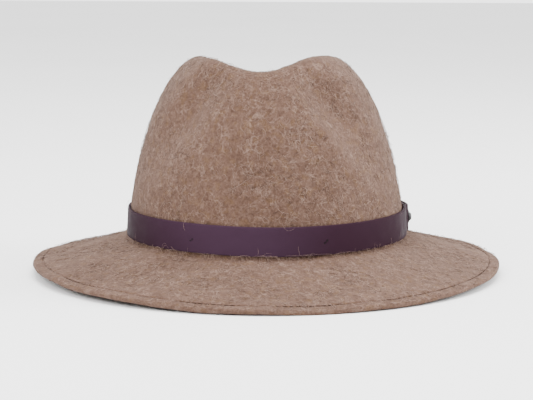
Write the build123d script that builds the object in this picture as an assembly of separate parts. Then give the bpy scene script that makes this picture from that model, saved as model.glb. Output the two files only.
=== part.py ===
from build123d import *
import math
import os

# A wool-felt fedora standing on its brim. Millimetres. Z is up, the hat faces -Y, the wearer's left is +X.
# The origin is on the table, under the middle of the brim's outline.
# Places on the hat are given by a turn round the oval, in degrees from the front towards the wearer's left,
# a climb, which is -1 at the brim's edge, 0 at the head line and 1 at the top of the crown,
# and a depth below the felt's outer face.

# Head oval, on the outside of the felt
HEAD_HALF_WIDTH = 88.2
HEAD_HALF_LENGTH = 102.4
HEAD_TAPER = 0.02
HEAD_LINE_HEIGHT = 22.75
HEAD_LINE_TILT = 0.5
CROWN_CENTRE_X = 0.45
CROWN_CENTRE_Y = -3.9
BREAK_RADIUS = 2.5

# Felt and brim
FELT = 2.2
BRIM_HALF_WIDTH = 151.3
BRIM_HALF_LENGTH = 166.3
BRIM_SIDE_LIFT = 4.25
BRIM_TWIST = 1.04
BRIM_BELLY = 0.16
HEM = 3.4
HEM_WIDTH = 8.0
HEM_LAYER = 1.5
EDGE_HEIGHT = 3.2
BRIM_SIDE_WIDTH = 62.0
STITCH_INSET = 6.5
GROOVE_WIDTH = 1.2
GROOVE_DEPTH = 0.6

# Crown before it is dented
CROWN_HEIGHT = 130.6
SIDE_POWER = 2.745
TOP_POWER = 1.79
LENGTH_POWER = 0.784
CROWN_SLOPE = 0.054
CROWN_LEAN = -0.0094

# Centre dent
DENT_DEPTH = 53.1
DENT_FRONT_WIDTH = 13.7
DENT_BACK_WIDTH = 21.5
DENT_REACH = 60.8
DENT_OFFSET = -0.65
DENT_SHARPNESS = 2.07
DENT_TAPER_LENGTH = 80.0

# Front pinches, one each side, each a hollow with a creased lower lip
PINCH_DEPTH = 8.4
PINCH_ARC = 64.0
PINCH_HEIGHT = 89.0
PINCH_LENGTH = 40.0
PINCH_WIDTH = 17.0
PINCH_LIP = 24.0
PINCH_CREASE_LEFT = 0.12
PINCH_CREASE_RIGHT = 0.5
PINCH_CREASE_BLEND = 25.0
PINCH_LEAN = 47.0
PINCH_RADIUS = 92.0

# Leather band
BAND_HEIGHT = 17.6
BAND_THICKNESS = 1.9
BAND_LIFT = 1.95
BAND_GAP = 0.6
BAND_TAPER = 0.6
LAP_START = 97.0
LAP_END = 118.0
LAP_CLIMB = 3.5
LAP_GAP = 0.1
STUD_TURN = 99.0
STUD_RADIUS = 4.2
STUD_FLANGE = 0.7
STUD_HEAD = 1.7
TACK_TURNS = (-150.0, -90.0, -28.5, 26.0, 111.0, 160.0)
TACK_REACH = 0.6
TACK_SLANT = 1.3
TACK_SHARE = 0.28
TIP_LENGTH = 5.0
TIP_HALF_HEIGHT = 1.5

# Threads
THREAD_RADIUS = 0.22
THREAD_STAND = 0.3
EDGE_STITCHES = 240
EDGE_STITCH_SHARE = 0.7
SEAM_STITCHES = 150
SEAM_STITCH_SHARE = 0.65
SEAM_STITCH_HEIGHT = 4.0

# Inside of the hat
LINING = 0.4
LINING_DEPTH = 3.0
LINING_SEAM_CLIMB = 0.62
LINING_FOOT_CLIMB = 0.1
PIPING_RADIUS = 1.0
SWEATBAND = 1.0
SWEATBAND_DEPTH = 4.0
SWEATBAND_HEIGHT = 34.0
SWEATBAND_FOOT = 1.8
REED_RADIUS = 1.0
TAPE = 0.35
FIT_GAP = 0.02
LABEL_TURN = 150.0
LABEL_HALF_WIDTH = 11.0
LABEL_FOOT = 12.8
LABEL_HEIGHT = 16.0
BACK_TAPE_HALF_WIDTH = 7.0
BACK_TAPE_FOOT = 7.8
BACK_TAPE_HEIGHT = 26.0
PATCH_GAP = 0.3
BOW_HEIGHT = 5.8
BOW_REACH = 6.2
BOW_LOOP_WIDTH = 5.0
BOW_LOOP_THICKNESS = 0.95
BOW_RIBBON = 0.45
BOW_HALF_HEIGHT = 2.4
REED_DEPTH = 4.6
REED_HEIGHT = 0.0
WIRE_RADIUS = 0.45
WIRE_INSET = 2.4
CHANNEL_RADIUS = 0.75
JOINER_RADIUS = 0.68
JOINER_HALF_LENGTH = 12.0
SEAM_GAP = 0.4

# How finely the curved faces are shaped
AROUND = 60
STEP = 1e-3


def eased(fraction):
    """0 to 1 with a level start and end."""
    fraction = min(max(fraction, 0.0), 1.0)
    return fraction * fraction * (3 - 2 * fraction)


def head_oval(turn, half_width, half_length):
    """A point of an oval round the crown's centre line, a little narrower towards the forehead."""
    angle = math.radians(turn)
    x = half_width * math.sin(angle) * (1 - HEAD_TAPER * math.cos(angle))
    return CROWN_CENTRE_X + x, CROWN_CENTRE_Y - half_length * math.cos(angle)


def head_height(turn):
    """The head line's height, a little more at the front than at the back."""
    return HEAD_LINE_HEIGHT + HEAD_LINE_TILT * math.cos(math.radians(turn))


def pinch_depth(turn, height):
    """How far the finger pinch beside the front pushes the felt in, more sharply on the wearer's left."""
    side = (turn + 180) % 360 - 180
    across = abs(math.radians(side)) * PINCH_RADIUS - PINCH_ARC
    up = height - PINCH_HEIGHT
    lean = math.radians(PINCH_LEAN)
    along = (across * math.cos(lean) - up * math.sin(lean)) / PINCH_LENGTH
    beside = across * math.sin(lean) + up * math.cos(lean)
    share = eased(0.5 + side / PINCH_CREASE_BLEND / 2)
    crease = PINCH_CREASE_RIGHT + (PINCH_CREASE_LEFT - PINCH_CREASE_RIGHT) * share
    slope = math.cos(math.radians(90) * min(max(beside / PINCH_LIP, -2.0), 0.0))
    lip = (slope + math.hypot(slope, crease)) / (1 + math.hypot(1, crease))
    hollow = math.exp(-((max(beside, 0.0) / PINCH_WIDTH) ** 2))
    return PINCH_DEPTH * math.exp(-along * along) * lip * hollow


def dent_depth(x, y, rise):
    """How far the centre dent pushes the top of the crown down."""
    width = DENT_BACK_WIDTH + (DENT_FRONT_WIDTH - DENT_BACK_WIDTH) * eased(-y / DENT_TAPER_LENGTH)
    across = abs((x - DENT_OFFSET) / width) ** DENT_SHARPNESS / 2
    along = (abs(y) / DENT_REACH) ** 3
    return DENT_DEPTH * math.exp(-across - along) * rise**4


def crown_face(turn, climb):
    """A point on the crown's outer face."""
    angle = math.radians(turn)
    slant = math.radians(90 * climb)
    shrink = max(math.cos(slant), 0.0) ** (2 / SIDE_POWER)
    rise = math.sin(slant) ** (2 / TOP_POWER)
    long_shrink = shrink**LENGTH_POWER
    x = HEAD_HALF_WIDTH * shrink * math.sin(angle) * (1 - HEAD_TAPER * math.cos(angle))
    y = -HEAD_HALF_LENGTH * long_shrink * math.cos(angle)
    height = CROWN_HEIGHT * rise * (1 + CROWN_SLOPE * long_shrink * math.cos(angle))
    pinch = pinch_depth(turn, height)
    x -= pinch * math.sin(angle)
    y += pinch * math.cos(angle)
    height -= dent_depth(x, y, rise)
    x += CROWN_LEAN * height
    return x + CROWN_CENTRE_X, y + CROWN_CENTRE_Y, height + head_height(turn)


def brim_edge(turn):
    """A point on the brim's upper edge: low at front and back, a little higher at the sides."""
    angle = math.radians(turn)
    x = BRIM_HALF_WIDTH * math.sin(angle)
    y = -BRIM_HALF_LENGTH * math.cos(angle)
    z = EDGE_HEIGHT + BRIM_SIDE_LIFT * math.sin(angle) ** 2 - BRIM_TWIST * math.sin(2 * angle)
    return x, y, z


def brim_face(turn, out):
    """A point on the brim's upper face, out going from 0 at the head line to 1 at the edge."""
    foot_x, foot_y = head_oval(turn, HEAD_HALF_WIDTH, HEAD_HALF_LENGTH)
    edge_x, edge_y, edge_z = brim_edge(turn)
    fall = out + BRIM_BELLY * out * (1 - out)
    x = foot_x + (edge_x - foot_x) * out
    y = foot_y + (edge_y - foot_y) * out
    top = head_height(turn)
    return x, y, top + (edge_z - top) * fall


def brim_width(turn):
    """The brim's width in plan."""
    foot_x, foot_y = head_oval(turn, HEAD_HALF_WIDTH, HEAD_HALF_LENGTH)
    edge_x, edge_y, _ = brim_edge(turn)
    return math.hypot(edge_x - foot_x, edge_y - foot_y)


def climb_at(height):
    """The climb at which the undented crown reaches a height above the head line."""
    return math.degrees(math.asin((height / CROWN_HEIGHT) ** (TOP_POWER / 2))) / 90


BREAK_TOP = climb_at(BREAK_RADIUS)
BREAK_FOOT = -BREAK_RADIUS / BRIM_SIDE_WIDTH


def break_face(turn, climb):
    """A point in the small round break between crown and brim."""
    bend = math.radians(90) * (BREAK_TOP - climb) / (BREAK_TOP - BREAK_FOOT)
    out = BREAK_RADIUS * (1 - math.cos(bend)) / brim_width(turn)
    x, y, z = brim_face(turn, out)
    wall = crown_face(turn, BREAK_TOP * math.cos(bend))
    foot = crown_face(turn, 0)
    rise = BREAK_RADIUS * (1 - math.sin(bend))
    return x + wall[0] - foot[0], y + wall[1] - foot[1], z + rise


def outer_face(turn, climb):
    """A point on the felt's outer face, from the brim's edge to the top of the crown."""
    if climb >= BREAK_TOP:
        return Vector(*crown_face(turn, climb))
    if climb > BREAK_FOOT:
        return Vector(*break_face(turn, climb))
    return Vector(*brim_face(turn, -climb))


def felt_point(turn, climb, depth=0.0):
    """A point at a depth below the felt's outer face, square to that face."""
    here = outer_face(turn, climb)
    if depth == 0:
        return here
    along = outer_face(turn + 0.5, climb) - outer_face(turn - 0.5, climb)
    up = outer_face(turn, min(climb + STEP, 0.999)) - outer_face(turn, climb - STEP)
    return here - along.cross(up).normalized() * depth


def turns():
    """The turns at which closed rings are shaped."""
    return [360 * i / AROUND for i in range(AROUND)]


def closed_ring(points):
    """A smooth closed wire through evenly numbered points."""
    count = len(points)
    edge = Edge.make_spline(points, periodic=True, parameters=[i / count for i in range(count + 1)])
    return Wire([edge])


def ring(climb, depth):
    """A closed wire round the hat at one climb and depth."""
    return closed_ring([felt_point(turn, climb, depth) for turn in turns()])


def level_ring(climb, depth):
    """A small level ring near the top of the crown, where a skin is closed with a flat spot."""
    points = [felt_point(turn, climb, depth) for turn in turns()]
    level = sum(point.Z for point in points) / AROUND
    return closed_ring([Vector(point.X, point.Y, level) for point in points])


def inset_climb(inset):
    """The climb at a distance in from the brim's edge at the side."""
    return -1 + inset / BRIM_SIDE_WIDTH


def open_wire(corners):
    """A closed straight-sided wire."""
    return Wire(Polyline(*corners, close=True).edges())


def strip(sections):
    """A solid strip through four-cornered sections."""
    return Solid.make_loft([open_wire(corners) for corners in sections])


def bar(points, radius):
    """A round bar through points, its end faces square to it."""
    path = Edge.make_spline(points)
    start = Plane(points[0], z_dir=path.tangent_at(0))
    return sweep(start * Circle(radius), path=path)


def thread(start, end, radius):
    """A short straight length of thread."""
    length = (end - start).length
    return Plane(start, z_dir=end - start) * Cylinder(
        radius, length, align=(Align.CENTER, Align.CENTER, Align.MIN)
    )


CROWN_CLIMBS = [0.05 + 0.055 * i for i in range(9)] + [0.53 + 0.035 * i for i in range(13)]
BREAK_CLIMBS = [BREAK_FOOT + (BREAK_TOP - BREAK_FOOT) * i / 4 for i in range(5)]
BRIM_CLIMBS = [-0.12, -0.3, -0.5, -0.7]
TOP_CLIMB = 0.985


def groove():
    """The shallow groove that the edge stitches lie in, as insets and depths."""
    half = GROOVE_WIDTH / 2
    inner = [(STITCH_INSET + 2.5 * half, 0.0), (STITCH_INSET + half, 0.15)]
    outer = [(STITCH_INSET - half, 0.15), (STITCH_INSET - 2.5 * half, 0.0)]
    return inner + [(STITCH_INSET, GROOVE_DEPTH)] + outer


def nose():
    """The rounded fold at the brim's edge, from its top to its underside."""
    radius = HEM / 2
    angles = [math.radians(degrees) for degrees in range(-75, 76, 25)]
    return [(radius * (1 - math.cos(a)), radius * (1 + math.sin(a))) for a in angles]


def flap():
    """The turned-under layer: along its underside, round its raw edge and back along its inner face."""
    insets = [2.8, 5.0, HEM_WIDTH - 0.6]
    under = [(inset, HEM) for inset in insets]
    raw = [(HEM_WIDTH, HEM - 0.3), (HEM_WIDTH + 0.2, HEM - 0.75), (HEM_WIDTH, HEM - 1.2)]
    inner = [(inset, HEM - HEM_LAYER) for inset in (HEM_WIDTH - 0.6, 5.0, 3.6)]
    return under + raw + inner


def channel():
    """The round channel in the fold that the brim wire lies in."""
    angles = [math.radians(degrees) for degrees in range(50, 311, 40)]
    middle = HEM / 2
    return [
        (WIRE_INSET + CHANNEL_RADIUS * math.cos(a), middle + CHANNEL_RADIUS * math.sin(a))
        for a in angles
    ]


def under_brim():
    """The brim's own underside above the turned-under layer, thickening to full felt beyond it."""
    thin = [(inset, HEM_LAYER) for inset in (3.6, 5.0, HEM_WIDTH)]
    return thin + [(HEM_WIDTH + 1.5, 0.5 * (HEM_LAYER + FELT)), (HEM_WIDTH + 3.0, FELT)]


def felt_body():
    """Crown and brim in one piece of felt: down the outside, round the folded edge and up the inside."""
    face = sorted(CROWN_CLIMBS + BREAK_CLIMBS + BRIM_CLIMBS)
    edge = groove() + nose() + flap() + channel() + under_brim()
    rings = [level_ring(TOP_CLIMB, 0.0)]
    rings += [ring(climb, 0.0) for climb in reversed(face)]
    rings += [ring(inset_climb(inset), depth) for inset, depth in edge]
    rings += [ring(climb, FELT) for climb in face]
    rings += [level_ring(TOP_CLIMB, FELT)]
    return Solid.make_loft(rings)


def wire_points(start, end, count):
    """Points along the middle of the turned-under edge."""
    climb = inset_climb(WIRE_INSET)
    return [felt_point(start + (end - start) * i / (count - 1), climb, HEM / 2) for i in range(count)]


def wire_ends():
    """The turns at which the brim wire's two ends meet inside the joiner, at the back."""
    gap = math.degrees(SEAM_GAP / BRIM_HALF_LENGTH) / 2
    return -180 + gap, 180 - gap


def brim_wire():
    """The spring wire in the brim's edge, one turn with its ends at the back."""
    start, end = wire_ends()
    return bar(wire_points(start, end, AROUND + 1), WIRE_RADIUS)


def wire_joiner():
    """The small tube over the wire's two ends."""
    reach = math.degrees(JOINER_HALF_LENGTH / BRIM_HALF_LENGTH)
    points = wire_points(180 - reach, 180 + reach, 9)
    return bar(points, JOINER_RADIUS) - bar(points, WIRE_RADIUS + FIT_GAP)


def brim_edge_stitching():
    """The stitches in the groove near the brim's edge."""
    climb = inset_climb(STITCH_INSET)
    depth = GROOVE_DEPTH - THREAD_RADIUS
    stitches = []
    for i in range(EDGE_STITCHES):
        start = felt_point(360 * i / EDGE_STITCHES, climb, depth)
        end = felt_point(360 * (i + EDGE_STITCH_SHARE) / EDGE_STITCHES, climb, depth)
        stitches.append(thread(start, end, THREAD_RADIUS))
    return Compound(stitches)


def band_point(turn, up, out):
    """A point of the leather band: up from its lower edge, and out from its inner face."""
    share = up / BAND_HEIGHT
    lap = BAND_THICKNESS + LAP_GAP
    push = lap * eased((turn - LAP_START + LAP_CLIMB) / LAP_CLIMB)
    reach = BAND_GAP - BAND_TAPER * share + out + push
    x, y = head_oval(turn, HEAD_HALF_WIDTH + reach, HEAD_HALF_LENGTH + reach)
    return Vector(x, y, head_height(turn) + BAND_LIFT + up)


def band_section(turn):
    """The strap's section at a turn, narrowed to a round tip at its outer end."""
    left = min((LAP_END - turn) / TIP_LENGTH, 1.0)
    trim = (BAND_HEIGHT / 2 - TIP_HALF_HEIGHT) * (1 - math.sqrt(max(1 - (1 - left) ** 2, 0.0)))
    low, high = trim, BAND_HEIGHT - trim
    inner = [band_point(turn, low, 0), band_point(turn, high, 0)]
    outer = [band_point(turn, high, BAND_THICKNESS), band_point(turn, low, BAND_THICKNESS)]
    return inner + outer


def stud_plane(out):
    """The plane of the stud, a distance out from the band's inner face, facing outwards."""
    middle = band_point(STUD_TURN, BAND_HEIGHT / 2, out)
    beyond = band_point(STUD_TURN, BAND_HEIGHT / 2, out + 1)
    return Plane(middle, z_dir=beyond - middle)


def post(radius, length, out):
    """A round post that starts a distance out from the band's inner face."""
    return stud_plane(out) * Cylinder(radius, length, align=(Align.CENTER, Align.CENTER, Align.MIN))


def hatband_strap():
    """The leather strap, once round the crown with its outer end lapped over its inner end."""
    start = LAP_START - 360
    steps = 84
    turn_list = [start + (LAP_END - TIP_LENGTH - start) * i / steps for i in range(steps + 1)]
    turn_list += [LAP_END - TIP_LENGTH * share for share in (0.72, 0.44, 0.2, 0.0)]
    return strip([band_section(turn) for turn in turn_list])


def band_stud():
    """The dark metal stud on the strap's outer face: a flange and a domed head."""
    flange = post(STUD_RADIUS, STUD_FLANGE, BAND_THICKNESS + LAP_GAP / 2)
    base = stud_plane(BAND_THICKNESS + STUD_FLANGE)
    dome = Cone(STUD_RADIUS - 0.8, STUD_RADIUS / 2, STUD_HEAD, align=(Align.CENTER, Align.CENTER, Align.MIN))
    return flange + base * dome


def band_tacks():
    """The thread tacks that hold the strap, each a short slanting stitch on its face."""
    tacks = []
    for turn in TACK_TURNS:
        low = BAND_HEIGHT * TACK_SHARE
        out = BAND_THICKNESS + THREAD_STAND
        start = band_point(turn - TACK_REACH, low, out)
        end = band_point(turn + TACK_REACH, low + TACK_SLANT, out)
        tacks.append(thread(start, end, THREAD_RADIUS))
    return Compound(tacks)


def back_to_back(count):
    """Turns from the seam at the back, round the front, to the seam again."""
    return [-180 + 360 * i / count for i in range(count + 1)]


def seam_trimmed(point, turn):
    """At the back seam, the point beside the seam, so that the two ends stay apart."""
    if abs(turn) != 180:
        return point
    return Vector(CROWN_CENTRE_X + math.copysign(SEAM_GAP / 2, turn), point.Y, point.Z)


def closed_section(front, back):
    """A closed wire through two rows of points."""
    faces = [Edge.make_spline(front), Edge.make_line(front[-1], back[0])]
    faces += [Edge.make_spline(back), Edge.make_line(back[-1], front[0])]
    return Wire(faces)


def wall_section(turn, climbs, outside, inside):
    """A closed section of a thin wall that follows the crown."""
    front = [seam_trimmed(felt_point(turn, climb, outside), turn) for climb in climbs]
    back = [seam_trimmed(felt_point(turn, climb, inside), turn) for climb in reversed(climbs)]
    return closed_section(front, back)


def patch_section(turn, climbs, outside, inside):
    """A closed section of a patch, kept in one upright plane."""
    start = felt_point(turn, climbs[0], outside)
    across = (outer_face(turn + 0.5, 0) - outer_face(turn - 0.5, 0)).normalized()
    front = [felt_point(turn, climb, outside) for climb in climbs]
    back = [felt_point(turn, climb, inside) for climb in reversed(climbs)]
    front = [point - across * (point - start).dot(across) for point in front]
    back = [point - across * (point - start).dot(across) for point in back]
    return closed_section(front, back)


def wall(climbs, outside, inside):
    """A thin wall round the inside of the crown, its ends meeting at the back."""
    return Solid.make_loft([wall_section(turn, climbs, outside, inside) for turn in back_to_back(60)])


def lining_wall():
    """The lining's side panel."""
    foot, head = LINING_FOOT_CLIMB, LINING_SEAM_CLIMB - 0.012
    climbs = [foot + (head - foot) * i / 7 for i in range(8)]
    return wall(climbs, LINING_DEPTH, LINING_DEPTH + LINING)


def lining_tip():
    """The lining's top panel, which follows the dented crown."""
    climbs = [LINING_SEAM_CLIMB + 0.012 + (0.96 - LINING_SEAM_CLIMB - 0.012) * i / 11 for i in range(12)]
    rings = [level_ring(TOP_CLIMB, LINING_DEPTH)]
    rings += [ring(climb, LINING_DEPTH) for climb in reversed(climbs)]
    rings += [ring(climb, LINING_DEPTH + LINING) for climb in climbs]
    rings += [level_ring(TOP_CLIMB, LINING_DEPTH + LINING)]
    return Solid.make_loft(rings)


def lining_piping():
    """The covered cord in the seam between the lining's two panels."""
    depth = LINING_DEPTH + PIPING_RADIUS + 0.1
    points = [felt_point(turn, LINING_SEAM_CLIMB, depth) for turn in back_to_back(60)]
    points[0] = seam_trimmed(points[0], -180)
    points[-1] = seam_trimmed(points[-1], 180)
    return bar(points, PIPING_RADIUS)


def sweatband_climbs(low, high, count):
    """Climbs between two heights above the head line."""
    return [climb_at(low + (high - low) * i / (count - 1)) for i in range(count)]


def sweatband():
    """The leather band that touches the forehead, standing up inside the crown."""
    climbs = sweatband_climbs(SWEATBAND_FOOT, SWEATBAND_FOOT + SWEATBAND_HEIGHT, 5)
    return wall(climbs, SWEATBAND_DEPTH, SWEATBAND_DEPTH + SWEATBAND)


def reed_points():
    """The middle of the reed, just below the sweatband's lower edge."""
    points = []
    for turn in back_to_back(60):
        x, y = head_oval(turn, HEAD_HALF_WIDTH - REED_DEPTH, HEAD_HALF_LENGTH - REED_DEPTH)
        points.append(seam_trimmed(Vector(x, y, head_height(turn) + REED_HEIGHT), turn))
    return points


def sweatband_reed():
    """The flexible reed that stiffens the sweatband's lower edge."""
    return bar(reed_points(), REED_RADIUS)


def reed_tape():
    """The tape wrapped round the reed."""
    return bar(reed_points(), REED_RADIUS + TAPE) - bar(reed_points(), REED_RADIUS + FIT_GAP)


def sweatband_stitching():
    """The seam stitches just above the sweatband's lower edge, on its inner face."""
    climb = climb_at(SEAM_STITCH_HEIGHT)
    depth = SWEATBAND_DEPTH + SWEATBAND + THREAD_STAND
    stitches = []
    for i in range(SEAM_STITCHES):
        start = felt_point(360 * i / SEAM_STITCHES, climb, depth)
        end = felt_point(360 * (i + SEAM_STITCH_SHARE) / SEAM_STITCHES, climb, depth)
        stitches.append(thread(start, end, THREAD_RADIUS))
    return Compound(stitches)


def inner_patch(middle, half_width, low, high):
    """A thin patch on the sweatband's inner face."""
    outside = SWEATBAND_DEPTH + SWEATBAND + PATCH_GAP
    climbs = sweatband_climbs(low, high, 4)
    reach = math.degrees(half_width / HEAD_HALF_LENGTH)
    spots = [middle + reach * (i / 3 - 1) for i in range(7)]
    return Solid.make_loft([patch_section(turn, climbs, outside, outside + TAPE) for turn in spots])


def sweatband_back_tape():
    """The strip that joins the sweatband's two ends at the back."""
    top = BACK_TAPE_FOOT + BACK_TAPE_HEIGHT
    return inner_patch(180, BACK_TAPE_HALF_WIDTH, BACK_TAPE_FOOT, top)


def size_label():
    """A plain label sewn to the sweatband's inner face."""
    return inner_patch(LABEL_TURN, LABEL_HALF_WIDTH, LABEL_FOOT, LABEL_FOOT + LABEL_HEIGHT)


def bow_plane():
    """The plane of the ribbon bow, facing the middle of the hat."""
    depth = SWEATBAND_DEPTH + SWEATBAND + BOW_HALF_HEIGHT
    return Plane(felt_point(180, climb_at(BOW_HEIGHT), depth), x_dir=(1, 0, 0), z_dir=(0, -1, 0))


def sweatband_bow():
    """The small ribbon bow at the foot of the join: two flattened loops and a knot."""
    knot = Box(3.2, 3.6, 2.0)
    loops = []
    for side in (-1, 1):
        middle = Plane.XZ * Pos(side * BOW_REACH, 0)
        outline = middle * Ellipse(BOW_LOOP_WIDTH, BOW_LOOP_THICKNESS)
        hollow = middle * Ellipse(BOW_LOOP_WIDTH - BOW_RIBBON, BOW_LOOP_THICKNESS - BOW_RIBBON)
        loops.append(extrude(outline - hollow, BOW_HALF_HEIGHT, both=True))
    return bow_plane() * (knot + loops[0] + loops[1])


def export_parts():
    """Write one file per named piece."""
    os.makedirs("parts", exist_ok=True)
    makers = [
        felt_body,
        brim_edge_stitching,
        brim_wire,
        wire_joiner,
        hatband_strap,
        band_stud,
        band_tacks,
        sweatband,
        sweatband_reed,
        reed_tape,
        sweatband_stitching,
        sweatband_back_tape,
        sweatband_bow,
        lining_tip,
        lining_wall,
        lining_piping,
        size_label,
    ]
    for make in makers:
        export_step(make(), f"parts/{make.__name__}.step")


export_parts()
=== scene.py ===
import math

import bmesh
import bpy
import numpy as np
from mathutils import Matrix, Vector


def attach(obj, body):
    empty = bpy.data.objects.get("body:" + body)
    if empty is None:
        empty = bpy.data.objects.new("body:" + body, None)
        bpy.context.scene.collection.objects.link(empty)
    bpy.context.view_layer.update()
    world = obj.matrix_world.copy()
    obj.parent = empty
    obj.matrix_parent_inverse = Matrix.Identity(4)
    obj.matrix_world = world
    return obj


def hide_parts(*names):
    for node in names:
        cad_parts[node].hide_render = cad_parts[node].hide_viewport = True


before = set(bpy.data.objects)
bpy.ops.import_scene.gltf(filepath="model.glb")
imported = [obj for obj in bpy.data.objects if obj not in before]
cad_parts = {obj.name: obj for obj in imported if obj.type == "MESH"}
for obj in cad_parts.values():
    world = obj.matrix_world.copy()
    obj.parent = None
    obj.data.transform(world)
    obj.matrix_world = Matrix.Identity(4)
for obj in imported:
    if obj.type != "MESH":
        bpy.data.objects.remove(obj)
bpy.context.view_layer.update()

# The fedora's looks. Sizes are in millimetres until a mesh is made; Z is up, the hat faces -Y.
# Places on the felt are given as in the CAD source: a turn round the oval in degrees from the front towards
# the wearer's left, a climb (-1 brim edge, 0 head line, 1 crown top) and a depth below the outer face.

MM = 0.001

HEAD_HALF_WIDTH = 88.2
HEAD_HALF_LENGTH = 102.4
HEAD_TAPER = 0.02
HEAD_LINE_HEIGHT = 22.75
HEAD_LINE_TILT = 0.5
CROWN_CENTRE_X = 0.45
CROWN_CENTRE_Y = -3.9
BREAK_RADIUS = 2.5

FELT = 2.2
BRIM_HALF_WIDTH = 151.3
BRIM_HALF_LENGTH = 166.3
BRIM_SIDE_LIFT = 4.25
BRIM_TWIST = 1.04
BRIM_BELLY = 0.16
BRIM_SIDE_WIDTH = 62.0
HEM = 3.4
HEM_WIDTH = 8.0
HEM_LAYER = 1.5
EDGE_HEIGHT = 3.2
STITCH_INSET = 6.5
GROOVE_WIDTH = 1.5
GROOVE_DEPTH = 0.55

CROWN_HEIGHT = 130.6
SIDE_POWER = 2.745
TOP_POWER = 1.79
LENGTH_POWER = 0.784
CROWN_SLOPE = 0.054
CROWN_LEAN = -0.0094

DENT_DEPTH = 53.1
DENT_FRONT_WIDTH = 13.7
DENT_BACK_WIDTH = 21.5
DENT_REACH = 60.8
DENT_OFFSET = -0.65
DENT_SHARPNESS = 2.07
DENT_TAPER_LENGTH = 80.0

PINCH_DEPTH = 9.2
PINCH_ARC = 64.0
PINCH_HEIGHT = 89.0
PINCH_LENGTH = 40.0
PINCH_WIDTH = 17.0
PINCH_LIP = 21.0
PINCH_CREASE_LEFT = 0.08
PINCH_CREASE_RIGHT = 0.5
PINCH_CREASE_BLEND = 25.0
PINCH_FADE = 98.0
PINCH_FADE_LENGTH = 26.0
PINCH_LEAN = 47.0
PINCH_RADIUS = 92.0

BAND_HEIGHT = 17.6
BAND_THICKNESS = 1.9
BAND_LIFT = 1.95
BAND_GAP = 0.6
BAND_TAPER = 0.6
LAP_START = 97.0
LAP_END = 118.0
LAP_CLIMB = 3.5
LAP_GAP = 0.1
TACK_TURNS = (-150.0, -90.0, -28.5, 26.0, 111.0, 160.0)
TACK_REACH = 0.55
TACK_SLANT = 1.5
TACK_SHARE = 0.40

LINING_DEPTH = 3.0
LINING_SEAM_CLIMB = 0.62
SWEATBAND = 1.0
SWEATBAND_DEPTH = 4.0
SWEATBAND_HEIGHT = 34.0
SWEATBAND_FOOT = 1.8
SWEATBAND_LEAN = 0.8
LINING_FOOT_CLIMB = 0.1
CLOTH = 0.3
PIPING_RADIUS = 1.0
REED_RADIUS = 1.0
REED_DEPTH = 4.6
BOW_HEIGHT = 5.8
BACK_TURN = 180.0
BACK_TAPE_HALF_WIDTH = 7.0
BACK_TAPE_FOOT = 7.8
BACK_TAPE_TOP = 33.8
LABEL_TURN = 150.0
LABEL_HALF_WIDTH = 11.0
LABEL_FOOT = 12.8
LABEL_TOP = 28.8

# Steps to either side for a surface's direction, and the highest climb that has one.
TURN_STEP = 0.4
CLIMB_STEP = 1e-3
NEAR_TOP = 0.9995


# ---------------------------------------------------------------- the hat's surface

def eased(fraction):
    fraction = np.clip(fraction, 0.0, 1.0)
    return fraction * fraction * (3 - 2 * fraction)


def head_oval(turn, half_width, half_length):
    angle = np.radians(turn)
    x = half_width * np.sin(angle) * (1 - HEAD_TAPER * np.cos(angle))
    return CROWN_CENTRE_X + x, CROWN_CENTRE_Y - half_length * np.cos(angle)


def head_height(turn):
    """The head line's height, a little more at the front."""
    return HEAD_LINE_HEIGHT + HEAD_LINE_TILT * np.cos(np.radians(turn))


def pinch_depth(turn, height):
    """The soft pinches beside the front, the wearer's left one crisper than the other."""
    side = (turn + 180) % 360 - 180
    across = np.abs(np.radians(side)) * PINCH_RADIUS - PINCH_ARC
    up = height - PINCH_HEIGHT
    lean = math.radians(PINCH_LEAN)
    along = (across * math.cos(lean) - up * math.sin(lean)) / PINCH_LENGTH
    beside = across * math.sin(lean) + up * math.cos(lean)
    share = eased(0.5 + side / PINCH_CREASE_BLEND / 2)
    crease = PINCH_CREASE_RIGHT + (PINCH_CREASE_LEFT - PINCH_CREASE_RIGHT) * share
    slope = np.cos(np.clip(beside / PINCH_LIP, -2.0, 0.0) * math.pi / 2)
    lip = (slope + np.hypot(slope, crease)) / (1 + np.hypot(1, crease))
    hollow = np.exp(-((np.maximum(beside, 0.0) / PINCH_WIDTH) ** 2))
    below_top = 1 - eased((height - PINCH_FADE) / PINCH_FADE_LENGTH)
    return PINCH_DEPTH * np.exp(-along * along) * lip * hollow * below_top


def dent_depth(x, y, rise):
    width = DENT_BACK_WIDTH + (DENT_FRONT_WIDTH - DENT_BACK_WIDTH) * eased(-y / DENT_TAPER_LENGTH)
    across = np.abs((x - DENT_OFFSET) / width) ** DENT_SHARPNESS / 2
    along = (np.abs(y) / DENT_REACH) ** 3
    return DENT_DEPTH * np.exp(-across - along) * rise**4


def crown_face(turn, climb):
    angle = np.radians(turn)
    slant = np.radians(90 * climb)
    shrink = np.maximum(np.cos(slant), 0.0) ** (2 / SIDE_POWER)
    rise = np.maximum(np.sin(slant), 0.0) ** (2 / TOP_POWER)
    long_shrink = shrink**LENGTH_POWER
    x = HEAD_HALF_WIDTH * shrink * np.sin(angle) * (1 - HEAD_TAPER * np.cos(angle))
    y = -HEAD_HALF_LENGTH * long_shrink * np.cos(angle)
    height = CROWN_HEIGHT * rise * (1 + CROWN_SLOPE * long_shrink * np.cos(angle))
    pinch = pinch_depth(turn, height)
    x = x - pinch * np.sin(angle)
    y = y + pinch * np.cos(angle)
    height = height - dent_depth(x, y, rise)
    x = x + CROWN_LEAN * height
    return np.stack([x + CROWN_CENTRE_X, y + CROWN_CENTRE_Y, height + head_height(turn)], -1)


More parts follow.
